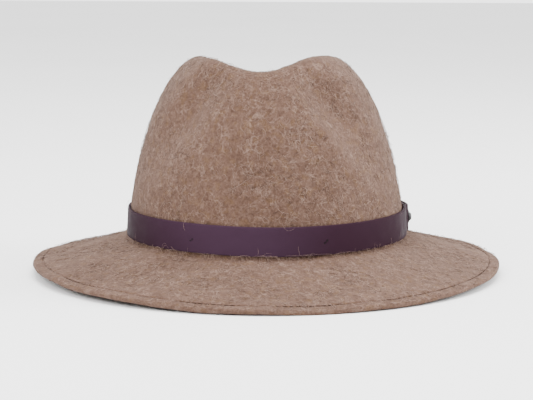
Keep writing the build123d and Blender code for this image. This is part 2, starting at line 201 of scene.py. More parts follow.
def brim_edge(turn):
    angle = np.radians(turn)
    x = BRIM_HALF_WIDTH * np.sin(angle)
    y = -BRIM_HALF_LENGTH * np.cos(angle)
    z = EDGE_HEIGHT + BRIM_SIDE_LIFT * np.sin(angle) ** 2 - BRIM_TWIST * np.sin(2 * angle)
    return x, y, z


def brim_face(turn, out):
    foot_x, foot_y = head_oval(turn, HEAD_HALF_WIDTH, HEAD_HALF_LENGTH)
    edge_x, edge_y, edge_z = brim_edge(turn)
    fall = out + BRIM_BELLY * out * (1 - out)
    x = foot_x + (edge_x - foot_x) * out
    y = foot_y + (edge_y - foot_y) * out
    top = head_height(turn)
    return np.stack([x, y, top + (edge_z - top) * fall], -1)


def brim_width(turn):
    foot_x, foot_y = head_oval(turn, HEAD_HALF_WIDTH, HEAD_HALF_LENGTH)
    edge_x, edge_y, _ = brim_edge(turn)
    return np.hypot(edge_x - foot_x, edge_y - foot_y)


def climb_at(height):
    return math.degrees(math.asin((height / CROWN_HEIGHT) ** (TOP_POWER / 2))) / 90


BREAK_TOP = climb_at(BREAK_RADIUS)
BREAK_FOOT = -BREAK_RADIUS / BRIM_SIDE_WIDTH


def break_face(turn, climb):
    bend = np.radians(90) * np.clip((BREAK_TOP - climb) / (BREAK_TOP - BREAK_FOOT), 0, 1)
    out = BREAK_RADIUS * (1 - np.cos(bend)) / brim_width(turn)
    shift = crown_face(turn, BREAK_TOP * np.cos(bend)) - crown_face(turn, 0 * bend)
    shift[..., 2] = BREAK_RADIUS * (1 - np.sin(bend))
    return brim_face(turn, out) + shift


def outer_face(turn, climb):
    turn, climb = np.broadcast_arrays(np.asarray(turn, float), np.asarray(climb, float))
    wall = crown_face(turn, np.clip(climb, 0, 1))
    bend = break_face(turn, climb)
    brim = brim_face(turn, np.clip(-climb, 0, 1.2))
    below = np.where((climb > BREAK_FOOT)[..., None], bend, brim)
    return np.where((climb >= BREAK_TOP)[..., None], wall, below)


def normal_at(turn, climb):
    along = outer_face(turn + TURN_STEP, climb) - outer_face(turn - TURN_STEP, climb)
    above = outer_face(turn, np.minimum(climb + CLIMB_STEP, NEAR_TOP))
    below = outer_face(turn, np.minimum(climb, NEAR_TOP) - CLIMB_STEP)
    normal = np.cross(along, above - below)
    return normal / np.maximum(np.linalg.norm(normal, axis=-1, keepdims=True), 1e-9)


def felt_point(turn, climb, depth=0.0):
    """Points at a depth below the felt's outer face, square to it."""
    turn, climb, depth = np.broadcast_arrays(
        np.asarray(turn, float), np.asarray(climb, float), np.asarray(depth, float)
    )
    return outer_face(turn, climb) - normal_at(turn, climb) * depth[..., None]


def inset_climb(inset):
    return -1 + inset / BRIM_SIDE_WIDTH


# ---------------------------------------------------------------- smooth random waves

WAVE_SPREAD = (0.6, 1.4)
WAVE_GAIN = 1.2


def waves(points, scale, seed, count=14):
    """A smooth random field over points, about -1 to 1, with features about scale mm across."""
    rng = np.random.default_rng(seed)
    total = np.zeros(points.shape[:-1])
    for _ in range(count):
        way = rng.normal(size=3)
        way *= 2 * math.pi / scale * rng.uniform(*WAVE_SPREAD) / np.linalg.norm(way)
        total += np.sin(points @ way + rng.uniform(0, 2 * math.pi))
    return total / math.sqrt(count) * WAVE_GAIN


# ---------------------------------------------------------------- meshes

def new_piece(name, points, faces, material, replaces=()):
    """A mesh from points in millimetres and faces as arrays of corner numbers, riding on the hat."""
    mesh = bpy.data.meshes.new(name)
    points = np.asarray(points, float).reshape(-1, 3) * MM
    mesh.vertices.add(len(points))
    mesh.vertices.foreach_set("co", points.ravel())
    groups = [np.asarray(group, int) for group in faces if len(group)]
    corners = np.concatenate([group.ravel() for group in groups])
    sizes = np.concatenate([np.full(len(group), group.shape[1]) for group in groups])
    mesh.loops.add(len(corners))
    mesh.loops.foreach_set("vertex_index", corners)
    mesh.polygons.add(len(sizes))
    starts = np.concatenate([[0], np.cumsum(sizes)[:-1]])
    mesh.polygons.foreach_set("loop_start", starts)
    mesh.polygons.foreach_set("loop_total", sizes)
    mesh.update(calc_edges=True)
    mesh.validate()
    mesh.shade_smooth()
    piece = bpy.data.objects.new(name, mesh)
    bpy.context.collection.objects.link(piece)
    mesh.materials.append(material)
    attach(piece, "root")
    if replaces:
        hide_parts(*replaces)
    return piece


def grid_faces(rows, columns, closed_rows=False, closed_columns=True):
    """Quads over a grid of points numbered row by row."""
    row = np.arange(rows if closed_rows else rows - 1)
    column = np.arange(columns if closed_columns else columns - 1)
    r, c = np.meshgrid(row, column, indexing="ij")
    a = r * columns + c
    b = r * columns + (c + 1) % columns
    d = ((r + 1) % rows) * columns + c
    e = ((r + 1) % rows) * columns + (c + 1) % columns
    return np.stack([a, b, e, d], -1).reshape(-1, 4)


# A direction that no path follows, to build each tube's sides from.
OBLIQUE = np.array([0.31, 0.52, 0.79])


def tubes(paths, radii, sides=3, taper=0.35):
    """Closed tubes along many paths (n, steps, 3): points and faces."""
    count, steps, _ = paths.shape
    tangent = np.gradient(paths, axis=1)
    tangent /= np.maximum(np.linalg.norm(tangent, axis=-1, keepdims=True), 1e-9)
    side = np.cross(tangent, OBLIQUE)
    side /= np.maximum(np.linalg.norm(side, axis=-1, keepdims=True), 1e-9)
    other = np.cross(tangent, side)
    angles = 2 * math.pi * np.arange(sides) / sides
    share = np.linspace(0, 1, steps)
    width = taper + (1 - taper) * np.sin(math.pi * np.clip(share, 0.0, 1.0)) ** 0.5
    reach = (np.asarray(radii).reshape(-1, 1) * width)[:, :, None, None]
    ring = side[:, :, None] * np.cos(angles)[:, None] + other[:, :, None] * np.sin(angles)[:, None]
    points = paths[:, :, None] + ring * reach
    block = grid_faces(steps, sides)
    first = (np.arange(count) * steps * sides)[:, None, None]
    quads = (block[None] + first).reshape(-1, 4)
    cap = np.arange(sides)
    caps = np.concatenate([(first[:, 0] + cap[::-1]), (first[:, 0] + (steps - 1) * sides + cap)])
    return points.reshape(-1, 3), [quads, caps]


# ---------------------------------------------------------------- node materials

class Nodes:
    """A short way to write a material's nodes."""

    def __init__(self, name):
        self.material = bpy.data.materials.new(name)
        self.material.use_nodes = True
        self.tree = self.material.node_tree
        self.tree.nodes.clear()
        self.output = self.tree.nodes.new("ShaderNodeOutputMaterial")
        self.place = self.add("ShaderNodeTexCoord").outputs["Object"]

    def add(self, kind, **settings):
        node = self.tree.nodes.new(kind)
        for key, value in settings.items():
            setattr(node, key, value)
        return node

    def put(self, socket, value):
        if hasattr(value, "is_output"):
            self.tree.links.new(value, socket)
        else:
            socket.default_value = value

    def noise(self, scale, detail=3.0, rough=0.55, distortion=0.0, where=None):
        node = self.add("ShaderNodeTexNoise")
        self.put(node.inputs["Vector"], self.place if where is None else where)
        node.inputs["Scale"].default_value = scale
        node.inputs["Detail"].default_value = detail
        node.inputs["Roughness"].default_value = rough
        node.inputs["Distortion"].default_value = distortion
        return node.outputs["Fac"]

    def mapped(self, scale=(1, 1, 1), turn=(0, 0, 0), shift=(0, 0, 0)):
        node = self.add("ShaderNodeMapping")
        self.put(node.inputs["Vector"], self.place)
        node.inputs["Scale"].default_value = scale
        node.inputs["Rotation"].default_value = turn
        node.inputs["Location"].default_value = shift
        return node.outputs["Vector"]

    def ramp(self, value, stops):
        node = self.add("ShaderNodeValToRGB")
        ends = node.color_ramp.elements
        while len(ends) < len(stops):
            ends.new(0.5)
        for end, (position, level) in zip(ends, stops):
            end.position = position
            end.color = (*level, 1) if hasattr(level, "__len__") else (level, level, level, 1)
        self.put(node.inputs["Fac"], value)
        return node.outputs["Color"]

    def maths(self, kind, a, b=0.0, c=0.0, clamp=False):
        node = self.add("ShaderNodeMath", operation=kind, use_clamp=clamp)
        for socket, value in zip(node.inputs, (a, b, c)):
            self.put(socket, value)
        return node.outputs[0]

    def mix(self, share, a, b, kind="MIX"):
        node = self.add("ShaderNodeMix", data_type="RGBA", blend_type=kind)
        self.put(node.inputs[0], share)
        self.put(node.inputs[6], (*a, 1) if isinstance(a, tuple) else a)
        self.put(node.inputs[7], (*b, 1) if isinstance(b, tuple) else b)
        return node.outputs[2]

    def bump(self, height, distance, strength=1.0, normal=None):
        node = self.add("ShaderNodeBump")
        node.inputs["Strength"].default_value = strength
        node.inputs["Distance"].default_value = distance
        self.put(node.inputs["Height"], height)
        if normal is not None:
            self.put(node.inputs["Normal"], normal)
        return node.outputs["Normal"]

    def shine(self, colour, rough, normal=None, **more):
        node = self.add("ShaderNodeBsdfPrincipled")
        self.put(node.inputs["Base Color"], (*colour, 1) if isinstance(colour, tuple) else colour)
        self.put(node.inputs["Roughness"], rough)
        if normal is not None:
            self.put(node.inputs["Normal"], normal)
        for name, value in more.items():
            self.put(node.inputs[name.replace("_", " ")], value)
        self.tree.links.new(node.outputs[0], self.output.inputs["Surface"])
        return self.material


def shade(colour, share):
    """A colour made lighter or darker."""
    return tuple(min(share * c, 1.0) for c in colour)


def strands(n, scale, shift, thin):
    """Thin curling lines, as matted fibres make: the contour lines of a smooth noise."""
    field = n.noise(scale, 1.5, 0.6, 0.4, n.mapped(shift=shift))
    away = n.maths("ABSOLUTE", n.maths("SUBTRACT", field, 0.5))
    return n.maths("SUBTRACT", 1.0, n.maths("DIVIDE", away, thin, clamp=True), clamp=True)


FELT_DARK = (0.0195, 0.0098, 0.0066)
FELT_LOW = (0.047, 0.0262, 0.0185)
FELT_MID = (0.083, 0.0475, 0.0345)
FELT_HIGH = (0.130, 0.080, 0.0605)
FELT_PALE = (0.225, 0.152, 0.122)
FELT_GOLD = (0.098, 0.055, 0.026)


def felt_material():
    n = Nodes("heather_felt_wool")
    tone = 0.5
    for scale, detail, weight, shift in (
        (42.0, 2.0, 0.08, (0.3, 0.1, 0.7)),
        (120.0, 2.0, 0.12, (4.1, 2.2, 0.9)),
        (300.0, 2.0, 0.34, (1.7, 8.3, 3.1)),
        (760.0, 2.0, 0.55, (6.6, 5.2, 1.4)),
    ):
        wave = n.noise(scale, detail, 0.6, 0.3, n.mapped(shift=shift))
        tone = n.maths("ADD", tone, n.maths("MULTIPLY", n.maths("SUBTRACT", wave, 0.5), weight))
    colour = n.ramp(tone, [
        (0.08, FELT_DARK), (0.30, FELT_LOW), (0.5, FELT_MID), (0.70, FELT_HIGH), (0.95, FELT_PALE),
    ])
    yellow = n.noise(230.0, 2.0, 0.5, 0.0, n.mapped(shift=(3.1, 1.7, 0.4)))
    yellow = n.ramp(yellow, [(0.54, 0.0), (0.66, 1.0)])
    colour = n.mix(n.maths("MULTIPLY", yellow, 0.36), colour, FELT_GOLD)
    clumps = n.noise(150.0, 2.0, 0.5, 0.0, n.mapped(shift=(7.7, 0.3, 2.9)))
    clumps = n.ramp(clumps, [(0.38, 0.15), (0.62, 1.0)])
    pale = n.maths("MULTIPLY", strands(n, 170.0, (0.7, 0.2, 0.9), 0.035), clumps)
    pale_fine = n.maths("MULTIPLY", strands(n, 330.0, (5.2, 1.9, 2.4), 0.045), clumps)
    dark = strands(n, 260.0, (9.5, 4.1, 7.7), 0.035)
    colour = n.mix(n.maths("MULTIPLY", dark, 0.24), colour, FELT_DARK)
    colour = n.mix(n.maths("MULTIPLY", pale_fine, 0.30), colour, FELT_PALE)
    colour = n.mix(n.maths("MULTIPLY", pale, 0.40), colour, FELT_PALE)
    height = n.maths("ADD", tone, n.maths("MULTIPLY", pale, 0.5))
    normal = n.bump(height, 0.0006, 0.6)
    return n.shine(
        colour, 0.95, normal, Specular_IOR_Level=0.05, Sheen_Weight=0.05, Sheen_Roughness=0.5,
        Sheen_Tint=(0.9, 0.8, 0.75, 1),
    )


def fibre_material(name, colour):
    n = Nodes(name)
    tone = n.ramp(n.noise(60.0, 2.0, 0.6), [(0.3, shade(colour, 0.8)), (0.7, shade(colour, 1.12))])
    return n.shine(tone, 0.8, None, Specular_IOR_Level=0.1, Sheen_Weight=0.05)


GRAIN_DEPTH = 0.00009
# How far, in metres, the painted highlight on the leather spreads to either side.
HIGHLIGHT_REACH = 0.042


def leather_material(name, base, light, rough, gloss=0.35, bend=1.45, patch_scale=45.0, highlight_at=None):
    """Grained leather, with an optional painted highlight: the colour is made lighter about a given X, in
    metres, at the front and the back alike.
    """
    n = Nodes(name)
    tone = n.noise(patch_scale, 2.0, 0.5)
    cells = n.add("ShaderNodeTexVoronoi", feature="SMOOTH_F1")
    n.put(cells.inputs["Vector"], n.place)
    cells.inputs["Scale"].default_value = 1900.0
    pores = n.noise(2600.0, 2.0, 0.6)
    share = n.ramp(tone, [(0.3, 0.0), (0.72, 1.0)])
    # Painted highlight: the colour turns lighter near one X whatever the light, added to the leather's random
    # patches.
    if highlight_at is not None:
        split = n.add("ShaderNodeSeparateXYZ")
        n.put(split.inputs[0], n.place)
        away = n.maths("DIVIDE", n.maths("SUBTRACT", split.outputs["X"], highlight_at), HIGHLIGHT_REACH)
        away = n.maths("POWER", n.maths("ABSOLUTE", away), 3.0)
        near = n.maths("DIVIDE", 1.0, n.maths("ADD", 1.0, away))
        share = n.maths("ADD", n.maths("MULTIPLY", near, 0.8), n.maths("MULTIPLY", share, 0.25), clamp=True)
    colour = n.mix(share, base, light)
    worn = n.maths("MULTIPLY", n.ramp(pores, [(0.55, 0.0), (0.8, 1.0)]), 0.12)
    colour = n.mix(worn, colour, shade(light, 1.5))
    pits = n.maths("MULTIPLY", cells.outputs["Distance"], 0.5)
    height = n.maths("ADD", pits, n.maths("MULTIPLY", pores, 0.5))
    scuffs = n.noise(300.0, 4.0, 0.7, 0.3, n.mapped(scale=(1, 1, 5)))
    height = n.maths("ADD", height, n.maths("MULTIPLY", scuffs, 0.5))
    uneven = n.ramp(n.noise(120.0, 4.0, 0.6), [(0.3, rough - 0.05), (0.7, rough + 0.07)])
    normal = n.bump(height, GRAIN_DEPTH, 0.7)
    return n.shine(
        colour, uneven, normal, IOR=bend, Specular_IOR_Level=gloss, Specular_Tint=(0.9, 0.82, 1.0, 1),
    )


def thread_material(name, colour):
    n = Nodes(name)
    twist = n.add("ShaderNodeTexWave", wave_type="BANDS")
    n.put(twist.inputs["Vector"], n.place)
    twist.inputs["Scale"].default_value = 1300.0
    twist.inputs["Distortion"].default_value = 1.5
    tint = n.ramp(twist.outputs["Fac"], [(0.2, shade(colour, 0.55)), (0.8, shade(colour, 1.25))])
    normal = n.bump(twist.outputs["Fac"], 0.0001, 0.8)
    return n.shine(tint, 0.9, normal, Specular_IOR_Level=0.15)


def satin_material(name, colour):
    n = Nodes(name)
    weave = n.add("ShaderNodeTexWave", wave_type="BANDS")
    n.put(weave.inputs["Vector"], n.mapped(turn=(0.3, 0.2, 0.5)))
    weave.inputs["Scale"].default_value = 1500.0
    weave.inputs["Distortion"].default_value = 2.0
    tone = n.ramp(n.noise(90.0, 3.0, 0.6), [(0.3, 0.0), (0.7, 1.0)])
    tint = n.mix(tone, shade(colour, 0.8), shade(colour, 1.2))
    normal = n.bump(weave.outputs["Fac"], 0.00006, 0.5)
    normal = n.bump(n.noise(400.0, 3.0, 0.6), 0.00025, 0.5, normal)
    return n.shine(tint, 0.38, normal, Sheen_Weight=0.4, Anisotropic=0.5, Specular_IOR_Level=0.6)


def cloth_material(name, colour):
    n = Nodes(name)
    warp = n.add("ShaderNodeTexWave", wave_type="BANDS", bands_direction="X")
    weft = n.add("ShaderNodeTexWave", wave_type="BANDS", bands_direction="Z")
    for wave in (warp, weft):
        n.put(wave.inputs["Vector"], n.place)
        wave.inputs["Scale"].default_value = 900.0
        wave.inputs["Distortion"].default_value = 1.0
    weave = n.maths("MULTIPLY", warp.outputs["Fac"], weft.outputs["Fac"])
    tone = n.noise(200.0, 3.0, 0.6)
    tint = n.mix(tone, shade(colour, 0.75), shade(colour, 1.2))
    tint = n.mix(n.maths("MULTIPLY", weave, 0.3), tint, shade(colour, 0.5))
    normal = n.bump(weave, 0.0001, 0.8)
    return n.shine(tint, 0.85, normal, Sheen_Weight=0.25)


def metal_material(name, colour, rough, metallic):
    n = Nodes(name)
    marks = n.noise(700.0, 4.0, 0.7)
    bright = tuple(min(1.8 * c + 0.004, 1) for c in colour)
    tint = n.mix(n.ramp(marks, [(0.35, 0.0), (0.75, 1.0)]), colour, bright)
    uneven = n.ramp(marks, [(0.3, rough), (0.75, rough + 0.15)])
    normal = n.bump(marks, 0.00006, 0.5)
    return n.shine(tint, uneven, normal, Metallic=metallic)


# ---------------------------------------------------------------- felt

def even_climbs(count):
    """Climbs from just above the break to the crown's top, evenly spaced along the felt."""
    climbs = np.linspace(BREAK_TOP, 1.0, 3000)
    turn = np.arange(0, 360, 15.0)
    points = outer_face(turn[:, None], climbs[None])
    run = np.linalg.norm(np.diff(points, axis=1), axis=-1).mean(0)
    along = np.concatenate([[0], np.cumsum(run)])
    return np.interp(np.linspace(0, along[-1], count), along, climbs)


def hem_profile():
    """Insets from the brim's edge, and depths.

    They run over the stitch groove, the rounded nose, the turned-under layer and its raw edge, to the
    brim's underside.
    """
    half = GROOVE_WIDTH / 2
    spots = [
        (STITCH_INSET + k * half, GROOVE_DEPTH * math.exp(-1.6 * k * k))
        for k in (2.4, 1.6, 1.0, 0.5, 0, -0.5, -1.0, -1.6, -2.4)
    ]
    spots += [(4.0, 0.0), (3.2, 0.0)]
    radius = HEM / 2
    for degrees in range(-90, 91, 12):
        angle = math.radians(degrees)
        spots.append((radius * (1 - math.cos(angle)) * 1.1, radius * (1 + math.sin(angle))))
    spots += [(inset, HEM) for inset in (2.6, 3.4, 4.4, 5.2)]
    spots += [
        (STITCH_INSET - k * half, HEM - 0.5 * GROOVE_DEPTH * math.exp(-1.6 * k * k))
        for k in (1.6, 0.8, 0, -0.8)
    ]
    spots += [(HEM_WIDTH - 0.2, HEM), (HEM_WIDTH + 0.1, HEM - 0.25), (HEM_WIDTH + 0.15, HEM - 0.7)]
    spots += [(HEM_WIDTH, HEM_LAYER + 0.25), (HEM_WIDTH + 0.4, HEM_LAYER + 0.05)]
    spots += [(HEM_WIDTH + 1.2, 0.5 * (HEM_LAYER + FELT)), (HEM_WIDTH + 3.0, FELT), (HEM_WIDTH + 4.5, FELT)]
    return spots


AROUND = 384
CROWN_RINGS = 112
BRIM_RINGS = 34
TABLE_CLEARANCE = 0.02


def felt_rings():
    """(climb, depth) of every ring, from the crown's top down the outside and back up the inside."""
    crown = list(even_climbs(CROWN_RINGS))
    bend = list(np.linspace(BREAK_FOOT, BREAK_TOP, 9))[:-1]
    brim = list(-np.linspace(0.06, 1 - (STITCH_INSET + 3) / BRIM_SIDE_WIDTH, BRIM_RINGS))
    rings = [(climb, 0.0) for climb in crown[::-1][1:]] + [(climb, 0.0) for climb in bend[::-1]]
    rings += [(climb, 0.0) for climb in brim]
    rings += [(inset_climb(inset), depth) for inset, depth in hem_profile()]
    rings += [(climb, FELT) for climb in brim[::-1][1::2]]
    rings += [(climb, FELT) for climb in bend[::2]] + [(climb, FELT) for climb in crown[1:-2:3]]
    return rings


def felt_body(material):
    turn = np.arange(AROUND) * 360.0 / AROUND
    rings = np.array(felt_rings())
    points = felt_point(turn[None], rings[:, :1], rings[:, 1:])
    outward = normal_at(turn[None], rings[:, :1] + 0 * turn[None])
    swell = 0.35 * waves(points, 55.0, 11) + 0.12 * waves(points, 16.0, 12) + 0.05 * waves(points, 5.0, 13)
    points = points + outward * swell[..., None]
    points[..., 2] = np.maximum(points[..., 2], TABLE_CLEARANCE)
    top = points[0].mean(0)
    bottom = points[-1].mean(0)
    rows = len(rings)
    corners = np.concatenate([points.reshape(-1, 3), [top, bottom]])
    quads = grid_faces(rows, AROUND)[:, ::-1]
    ring = np.arange(AROUND)
    following = (ring + 1) % AROUND
    last = (rows - 1) * AROUND
    outer_cap = np.stack([ring, following, np.full(AROUND, rows * AROUND)], -1)
    inner_cap = np.stack([last + following, last + ring, np.full(AROUND, rows * AROUND + 1)], -1)
    faces = [quads, outer_cap, inner_cap]
    return new_piece("felt_hat", corners, faces, material, ["felt_body"])


# ---------------------------------------------------------------- loose fibres

def scattered(rng, count, low, high):
    """Turns and climbs spread evenly over the felt's area between two climbs."""
    turn = rng.uniform(0, 360, count * 6)
    climb = rng.uniform(low, high, count * 6)
    along = np.linalg.norm(outer_face(turn + 0.5, climb) - outer_face(turn - 0.5, climb), axis=-1)
    above = outer_face(turn, np.minimum(climb + CLIMB_STEP, 1))
    up = np.linalg.norm(above - outer_face(turn, climb - CLIMB_STEP), axis=-1)
    area = along * up
    keep = rng.uniform(0, 1, count * 6) < area / np.quantile(area, 0.98)
    return turn[keep][:count], climb[keep][:count]


def crawl(turn, climb, heading, bend, length, steps, lift):
    """Paths that wander over the felt: each starts at a turn and climb and keeps bending."""
    path = []
    stride = length / (steps - 1)
    for i in range(steps):
        path.append(felt_point(turn, climb, -lift[:, i]))
        here = outer_face(turn, climb)
        per_turn = (outer_face(turn + 0.2, climb) - here) / 0.2
        per_climb = (here - outer_face(turn, climb - CLIMB_STEP)) / CLIMB_STEP
        size_turn = np.maximum(np.linalg.norm(per_turn, axis=-1), 0.15)
        size_climb = np.maximum(np.linalg.norm(per_climb, axis=-1), 20.0)
        turn = turn + stride * np.cos(heading) / size_turn
        climb = np.clip(climb + stride * np.sin(heading) / size_climb, -0.995, 0.985)
        heading = heading + bend[:, i]
    return np.stack(path, 1)


ROOT_DEPTH = 0.08
FIBRE_REACH = (-0.99, 0.97)


def fibres(name, count, seed, material, radius, length, loft):
    """Loose wool fibres that curl over the felt."""
    rng = np.random.default_rng(seed)
    turn, climb = scattered(rng, count, *FIBRE_REACH)
    count = len(turn)
    steps = 8
    run = rng.gamma(4.0, length / 4.0, count).clip(0.4 * length, 2.4 * length)
    bend = rng.normal(0, 0.28, (count, 1)) + rng.normal(0, 0.35, (count, steps))
    base = rng.uniform(0.02, 0.12, (count, 1))
    share = np.linspace(0, 1, steps)[None]
    crest = rng.gamma(1.3, loft / 1.3, (count, 1))
    stretch = rng.uniform(0.5, 1.15, (count, 1))
    arch = crest * np.sin(math.pi * np.clip(share * stretch, 0, 1))
    lift = base + np.minimum(arch, 1.6)
    lift[:, 0] = -ROOT_DEPTH
    lift[:, -1] = np.where(rng.uniform(size=count) < 0.75, -ROOT_DEPTH, lift[:, -1])
    paths = crawl(turn, climb, rng.uniform(0, 2 * math.pi, count), bend, run, steps, lift)
    points, faces = tubes(paths, radius * rng.uniform(0.65, 1.35, count))
    return new_piece(name, points, faces, material)


def stray_fibres(name, count, seed, material):
    """Longer fibres that curl over the strap's lower and upper edges."""
    rng = np.random.default_rng(seed)
    turn = (rng.uniform(0, 360, count) + 5 * rng.normal(size=count)) % 360
    low = rng.uniform(size=count) < 0.88
    over = climb_at(BAND_LIFT + BAND_HEIGHT)
    below_edge = rng.uniform(-0.07, -0.035, count)
    climb = np.where(low, below_edge, rng.uniform(over + 0.004, over + 0.03, count))
    steps = 12
    share = np.linspace(0, 1, steps)[None]
    run = rng.gamma(5.0, 1.3, count).clip(3.0, 11.0)
    heading = np.where(low, 1, -1) * np.radians(rng.uniform(35, 145, count))
    bend = rng.normal(0, 0.22, (count, 1)) + rng.normal(0, 0.25, (count, steps))
    height = BAND_GAP + BAND_THICKNESS + rng.uniform(0.3, 0.9, (count, 1))
    lift = -0.1 + (height + 0.1) * np.clip(share * run[:, None] / 1.8, 0, 1) ** 0.7
    lift += rng.uniform(0.0, 0.8, (count, 1)) * np.sin(math.pi * share)
    paths = crawl(turn, climb, heading, bend, run, steps, lift)
    points, faces = tubes(paths, 0.045 * rng.uniform(0.7, 1.3, count))
    return new_piece(name, points, faces, material)


# ---------------------------------------------------------------- leather band

def band_point(turn, up, out):
    share = up / BAND_HEIGHT
    push = (BAND_THICKNESS + LAP_GAP) * eased((turn - LAP_START + LAP_CLIMB) / LAP_CLIMB)
    reach = BAND_GAP - BAND_TAPER * share + out + push
    x, y = head_oval(turn, HEAD_HALF_WIDTH + reach, HEAD_HALF_LENGTH + reach)
    return np.stack([x, y, head_height(turn) + BAND_LIFT + up + 0 * x], -1)


def strap_profile():
    """Up and out of the strap's section: flat back, rounded edges, a very slightly crowned face."""
    crease = 0.42
    spots = [(0.25, 0.0), (BAND_HEIGHT - 0.25, 0.0), (BAND_HEIGHT, 0.3), (BAND_HEIGHT, BAND_THICKNESS - 0.55)]
    shoulder = BAND_THICKNESS - crease - 0.1
    for k in range(5):
        angle = math.radians(90 * k / 4)
        spots.append((BAND_HEIGHT - crease + crease * math.cos(angle), shoulder + crease * math.sin(angle)))
    for share in np.linspace(0.93, 0.07, 13):
        spots.append((BAND_HEIGHT * share, BAND_THICKNESS - 0.08 + 0.08 * (1 - (2 * share - 1) ** 4)))
    for k in range(5):
        angle = math.radians(90 * (4 - k) / 4)
        spots.append((crease - crease * math.cos(angle), shoulder + crease * math.sin(angle)))
    spots += [(0.0, 0.3)]
    return np.array(spots)


def strap(material):
    profile = strap_profile()
    start = LAP_START - 360
    turn = np.linspace(start, LAP_END, 620)
    left = (LAP_END - turn) / 5.0
    rounding = 1 - np.sqrt(np.maximum(1 - (1 - left) ** 2, 0))
    trim = np.where(left >= 1, 0.0, (BAND_HEIGHT / 2 - 1.2) * rounding)
    share = profile[:, 0] / BAND_HEIGHT
    up = trim[:, None] + (BAND_HEIGHT - 2 * trim[:, None]) * share[None]
    points = band_point(turn[:, None], up, profile[None, :, 1])
    rough = 0.12 * waves(points, 60.0, 31) + 0.04 * waves(points, 14.0, 32)
    centre = np.array([CROWN_CENTRE_X, CROWN_CENTRE_Y, 0])
    away = points - centre
    away[..., 2] = 0
    away /= np.linalg.norm(away, axis=-1, keepdims=True)
    points = points + away * np.maximum(rough, -0.1)[..., None]
    points[..., 2] += 0.18 * waves(np.stack([turn * 1.6, 0 * turn, 0 * turn], -1), 90.0, 33)[:, None]
    for spot in TACK_TURNS:
        beside = (turn - spot) * math.radians(1) * 95
        above = up - BAND_HEIGHT * (TACK_SHARE + 0.04)
        near = np.exp(-(beside**2)[:, None] / 2.2 - above**2 / 1.6)
        points -= away * (0.22 * near * (profile[None, :, 1] > 1))[..., None]
    rows, columns = points.shape[:2]
    quads = grid_faces(rows, columns)
    cap = np.arange(columns)[None]
    ends = [cap[:, ::-1], (rows - 1) * columns + cap]
    return new_piece("leather_strap", points, [quads] + ends, material, ["hatband_strap"])


def strap_tacks(material):
    """Each tack: a short slanting thread between the two pinholes that it has pulled into the leather. At
    each pinhole sits a dark disc of the thread's colour, wider than the thread: painted shade of the hole
    around the thread's end.
    """
    threads, hole_shade_discs = [], []
    for turn in TACK_TURNS:
        start = band_point(turn - TACK_REACH, BAND_HEIGHT * TACK_SHARE, BAND_THICKNESS - 0.15)
        end = band_point(turn + TACK_REACH, BAND_HEIGHT * TACK_SHARE + TACK_SLANT, BAND_THICKNESS - 0.15)
        outward = band_point(turn, 0.0, 1.0) - band_point(turn, 0.0, 0.0)
        share = np.linspace(0, 1, 9)[:, None]
        threads.append(start + (end - start) * share + outward * 0.45 * np.sin(math.pi * share))
        # Dark discs at the pinholes: painted shade of the holes, around the thread's ends.
        hole_shade_discs += [np.stack([spot - 0.4 * outward, spot, spot + 0.16 * outward]) for spot in (start, end)]
    points, faces = tubes(np.array(threads), np.full(len(threads), 0.2), sides=8, taper=0.8)
    more, shade_disc_faces = tubes(np.array(hole_shade_discs), np.full(len(hole_shade_discs), 0.62), sides=10, taper=1.0)
    parts = [*faces, *(group + len(points) for group in shade_disc_faces)]
    points = np.concatenate([points, more])
    return new_piece("strap_tacks", points, parts, material, ["band_tacks"])


# ---------------------------------------------------------------- inside of the hat

INNER_TURNS = np.arange(480) * 0.75
SEAM_ALLOWANCE = 0.006
TOP_HOLE = 0.985


def thin_sheet(name, front, back, material, replaces, closed=True, pole=False):
    """A thin closed sheet between two matching grids; pole closes its last row to a middle point."""
    rows, columns = front.shape[:2]
    half = rows * columns
    points = np.concatenate([front.reshape(-1, 3), back.reshape(-1, 3)])
    faces = [grid_faces(rows, columns, closed_columns=closed)]
    faces.append(faces[0][:, ::-1] + half)
    near = np.arange(columns if closed else columns - 1)
    far = (near + 1) % columns
    faces.append(np.stack([near, near + half, far + half, far], -1))
    last = (rows - 1) * columns
    if pole:
        points = np.concatenate([points, [front[-1].mean(0), back[-1].mean(0)]])
        faces.append(np.stack([last + near, last + far, np.full(len(near), 2 * half)], -1))
        faces.append(np.stack([last + far + half, last + near + half, np.full(len(near), 2 * half + 1)], -1))
    else:
        faces.append(np.stack([last + near, last + far, last + far + half, last + near + half], -1))
    if not closed:
        low = np.arange(rows - 1) * columns
        for edge, way in ((0, 1), (columns - 1, -1)):
            start = low + edge
            rim = np.stack([start, start + columns, start + columns + half, start + half], -1)
            faces.append(rim[:, ::way])
    piece = new_piece(name, points, faces, material, replaces)
    face_outwards(piece)
    return piece


def face_outwards(piece):
    """Turn every face of a closed piece outwards."""
    work = bmesh.new()
    work.from_mesh(piece.data)
    bmesh.ops.recalc_face_normals(work, faces=work.faces)
    work.to_mesh(piece.data)
    work.free()


def ripples(turn, across, seed, length):
    """Soft folds that run up the wall, about -1 to 1."""
    turn, across = np.broadcast_arrays(turn, across)
    angle = np.radians(turn)
    spots = np.stack([HEAD_HALF_WIDTH * np.cos(angle), HEAD_HALF_WIDTH * np.sin(angle), 0.2 * across], -1)
    return waves(spots, length, seed)


def band_lean(height):
    """How far the sweatband's upper part leans in from the wall."""
    return SWEATBAND_LEAN * (np.clip(height - SWEATBAND_FOOT, 0, None) / SWEATBAND_HEIGHT) ** 2


